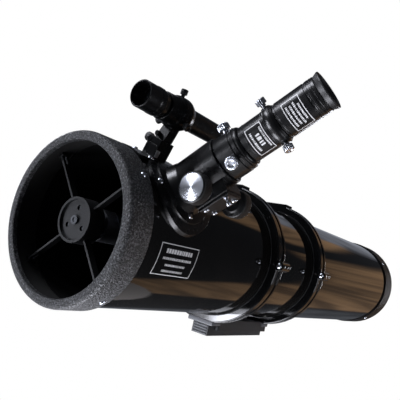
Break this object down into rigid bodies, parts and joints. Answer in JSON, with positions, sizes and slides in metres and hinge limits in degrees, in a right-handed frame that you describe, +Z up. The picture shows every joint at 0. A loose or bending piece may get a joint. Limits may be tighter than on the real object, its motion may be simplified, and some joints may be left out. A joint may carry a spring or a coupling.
{
  "type": "reflector telescope tube assembly",
  "caption": "Newtonian reflector optical tube in hinged rings on a mounting cradle, with spider, rack-and-pinion focuser, Barlow lens, erecting eyepiece and finder scope.",
  "frame": {"origin": "centre of the flat face under the mounting bar, midway between the two tube rings", "axes": "+X along the optical axis from the front opening to the main mirror, +Z up, -Y the side that the eyepiece leans to"},
  "size_m": [0.8516, 0.3276, 0.2877],
  "materials": {
    "tube_black": "high gloss black enamel",
    "wrinkle_black": "speckled wrinkle powder coat",
    "satin_black": "satin black anodised or painted metal",
    "ring_black": "gloss black cast aluminium",
    "cast_dark": "textured dark paint on a casting",
    "felt": "black felt",
    "chrome": "polished",
    "spun_aluminium": "spun, with a radial sheen",
    "knob_black": "knurled satin black",
    "rubber": "matte",
    "lens_glass": "coated",
    "mirror": "front surface aluminised",
    "steel": "plain steel",
    "plate_alu": "machined"
  },
  "bodies": {
    "mount": {"mount_bar": "cast_dark", "mount_cradle": "cast_dark", "mount_bolts": "steel", "ring_lower_front": "ring_black", "ring_lower_rear": "ring_black", "ring_felt_lower": "felt", "ring_hinge_pins": "chrome"},
    "ring_top_front": {"ring_upper_front": "ring_black", "ring_felt_front": "felt"},
    "ring_top_rear": {"ring_upper_rear": "ring_black", "ring_felt_rear": "felt"},
    "clamp_front": {"clamp_knob_front": "chrome"},
    "clamp_rear": {"clamp_knob_rear": "chrome"},
    "tube": {"tube_shell": "tube_black", "front_ring": "wrinkle_black", "rear_cell": "satin_black", "cell_screws": "chrome", "spider": "wrinkle_black", "secondary_screws": "steel", "focuser_housing": "satin_black", "focuser_screws": "chrome", "pinion_cover": "satin_black", "finder_shoe": "satin_black", "finder_shoe_screws": "chrome", "mirror_springs": "steel"},
    "drawtube": {"focus_drawtube": "chrome", "focus_rack": "steel", "drawtube_collar": "satin_black"},
    "pinion": {"focus_pinion": "steel", "focus_shaft": "steel", "focus_knob_near": "knob_black", "focus_knob_far": "knob_black", "focus_knob_caps": "spun_aluminium"},
    "collar_lock_1": {"collar_screw_1": "chrome"},
    "collar_lock_2": {"collar_screw_2": "chrome"},
    "barlow": {"barlow_body": "satin_black", "barlow_lens": "lens_glass"},
    "barlow_lock_1": {"barlow_screw_1": "chrome"},
    "barlow_lock_2": {"barlow_screw_2": "chrome"},
    "eyepiece": {"eyepiece_body": "satin_black", "eyepiece_lenses": "lens_glass", "eyecup": "rubber"},
    "secondary": {"secondary_holder": "plate_alu", "secondary_mirror": "mirror"},
    "primary": {"primary_mirror": "mirror", "mirror_cell": "plate_alu", "mirror_clips": "plate_alu"},
    "collimation_1": {"collimation_knob_1": "steel"},
    "collimation_2": {"collimation_knob_2": "steel"},
    "collimation_3": {"collimation_knob_3": "steel"},
    "finder_bracket": {"finder_bracket": "satin_black"},
    "finder_lock": {"finder_lock_knob": "knob_black"},
    "finder": {"finder_tube": "satin_black", "finder_cell": "satin_black", "finder_lens": "lens_glass", "finder_o_ring": "rubber"},
    "finder_eyepiece": {"finder_eyepiece": "satin_black"},
    "finder_aim_1": {"finder_screw_1": "knob_black"},
    "finder_aim_2": {"finder_screw_2": "knob_black"},
    "finder_aim_3": {"finder_screw_3": "knob_black"}
  },
  "joints": [
    {"name": "front_ring_opens", "type": "hinge", "parent": "mount", "child": "ring_top_front", "pos_m": [-0.0706, -0.0984, 0.114], "axis": [1, 0, 0], "range_deg": [0, 95]},
    {"name": "rear_ring_opens", "type": "hinge", "parent": "mount", "child": "ring_top_rear", "pos_m": [0.0706, -0.0984, 0.114], "axis": [1, 0, 0], "range_deg": [0, 95]},
    {"name": "front_clamp_turns", "type": "hinge", "parent": "ring_top_front", "child": "clamp_front", "pos_m": [-0.0706, 0.105, 0.131], "axis": [0, 0, 1], "range_deg": [0, 720]},
    {"name": "rear_clamp_turns", "type": "hinge", "parent": "ring_top_rear", "child": "clamp_rear", "pos_m": [0.0706, 0.105, 0.131], "axis": [0, 0, 1], "range_deg": [0, 720]},
    {"name": "tube_turns_in_rings", "type": "hinge", "parent": "mount", "child": "tube", "pos_m": [0, 0, 0.114], "axis": [1, 0, 0], "range_deg": [-180, 180]},
    {"name": "focus_slide", "type": "slide", "parent": "tube", "child": "drawtube", "axis": [0, -0.7859, 0.6184], "range_m": [0, 0.045]},
    {"name": "focus_knobs_turn", "type": "hinge", "parent": "tube", "child": "pinion", "pos_m": [-0.268, -0.11123, 0.1659], "axis": [1, 0, 0], "range_deg": [-5, 440]},
    {"name": "collar_screw_1_turns", "type": "hinge", "parent": "drawtube", "child": "collar_lock_1", "pos_m": [-0.268, -0.12259, 0.21047], "axis": [-0.766, -0.3975, -0.5051], "range_deg": [0, 720]},
    {"name": "collar_screw_2_turns", "type": "hinge", "parent": "drawtube", "child": "collar_lock_2", "pos_m": [-0.268, -0.12259, 0.21047], "axis": [-0.1736, 0.609, 0.7739], "range_deg": [0, 720]},
    {"name": "barlow_pulls_out", "type": "slide", "parent": "drawtube", "child": "barlow", "axis": [0, -0.7859, 0.6184], "range_m": [0, 0.028]},
    {"name": "barlow_screw_1_turns", "type": "hinge", "parent": "barlow", "child": "barlow_lock_1", "pos_m": [-0.268, -0.15914, 0.23923], "axis": [-0.5736, 0.5066, 0.6437], "range_deg": [0, 720]},
    {"name": "barlow_screw_2_turns", "type": "hinge", "parent": "barlow", "child": "barlow_lock_2", "pos_m": [-0.268, -0.15914, 0.23923], "axis": [0.0349, -0.618, -0.7854], "range_deg": [0, 720]},
    {"name": "eyepiece_pulls_out", "type": "slide", "parent": "barlow", "child": "eyepiece", "axis": [0, -0.7859, 0.6184], "range_m": [0, 0.024]},
    {"name": "secondary_turns", "type": "hinge", "parent": "tube", "child": "secondary", "pos_m": [-0.294, 0, 0.114], "axis": [1, 0, 0], "range_deg": [-15, 15]},
    {"name": "primary_tilts", "type": "hinge", "parent": "tube", "child": "primary", "pos_m": [0.4685, 0, 0.114], "axis": [0, 1, 0], "range_deg": [-0.5, 0.5]},
    {"name": "collimation_knob_1_turns", "type": "hinge", "parent": "tube", "child": "collimation_1", "pos_m": [0.491, 0, 0.166], "axis": [1, 0, 0], "range_deg": [-360, 360]},
    {"name": "collimation_knob_2_turns", "type": "hinge", "parent": "tube", "child": "collimation_2", "pos_m": [0.491, -0.04503, 0.088], "axis": [1, 0, 0], "range_deg": [-360, 360]},
    {"name": "collimation_knob_3_turns", "type": "hinge", "parent": "tube", "child": "collimation_3", "pos_m": [0.491, 0.04503, 0.088], "axis": [1, 0, 0], "range_deg": [-360, 360]},
    {"name": "finder_bracket_slides_out", "type": "slide", "parent": "tube", "child": "finder_bracket", "axis": [-1, 0, 0], "range_m": [0, 0.022]},
    {"name": "finder_lock_turns", "type": "hinge", "parent": "tube", "child": "finder_lock", "pos_m": [-0.283, -0.02148, 0.21686], "axis": [0, 0.9397, 0.342], "range_deg": [0, 720]},
    {"name": "finder_tilts", "type": "hinge", "parent": "finder_bracket", "child": "finder", "pos_m": [-0.3005, -0.04754, 0.24462], "axis": [0, 0.9397, 0.342], "range_deg": [-1.5, 1.5]},
    {"name": "finder_focus", "type": "slide", "parent": "finder", "child": "finder_eyepiece", "axis": [1, 0, 0], "range_m": [0, 0.006]},
    {"name": "finder_screw_1_moves", "type": "slide", "parent": "finder_bracket", "child": "finder_aim_1", "axis": [0, -0.1736, 0.9848], "range_m": [-0.0007, 0.0007]},
    {"name": "finder_screw_2_moves", "type": "slide", "parent": "finder_bracket", "child": "finder_aim_2", "axis": [0, -0.766, -0.6428], "range_m": [-0.0007, 0.0007]},
    {"name": "finder_screw_3_moves", "type": "slide", "parent": "finder_bracket", "child": "finder_aim_3", "axis": [0, 0.9397, -0.342], "range_m": [-0.0007, 0.0007]}
  ],
  "couplings": [
    {"joint": "focus_knobs_turn", "follows": "focus_slide", "rad_per_m": 166.67},
    {"joint": "finder_screw_1_moves", "follows": "finder_tilts", "m_per_rad": -0.020189},
    {"joint": "finder_screw_2_moves", "follows": "finder_tilts", "m_per_rad": 0.007011},
    {"joint": "finder_screw_3_moves", "follows": "finder_tilts", "m_per_rad": 0.013177}
  ]
}
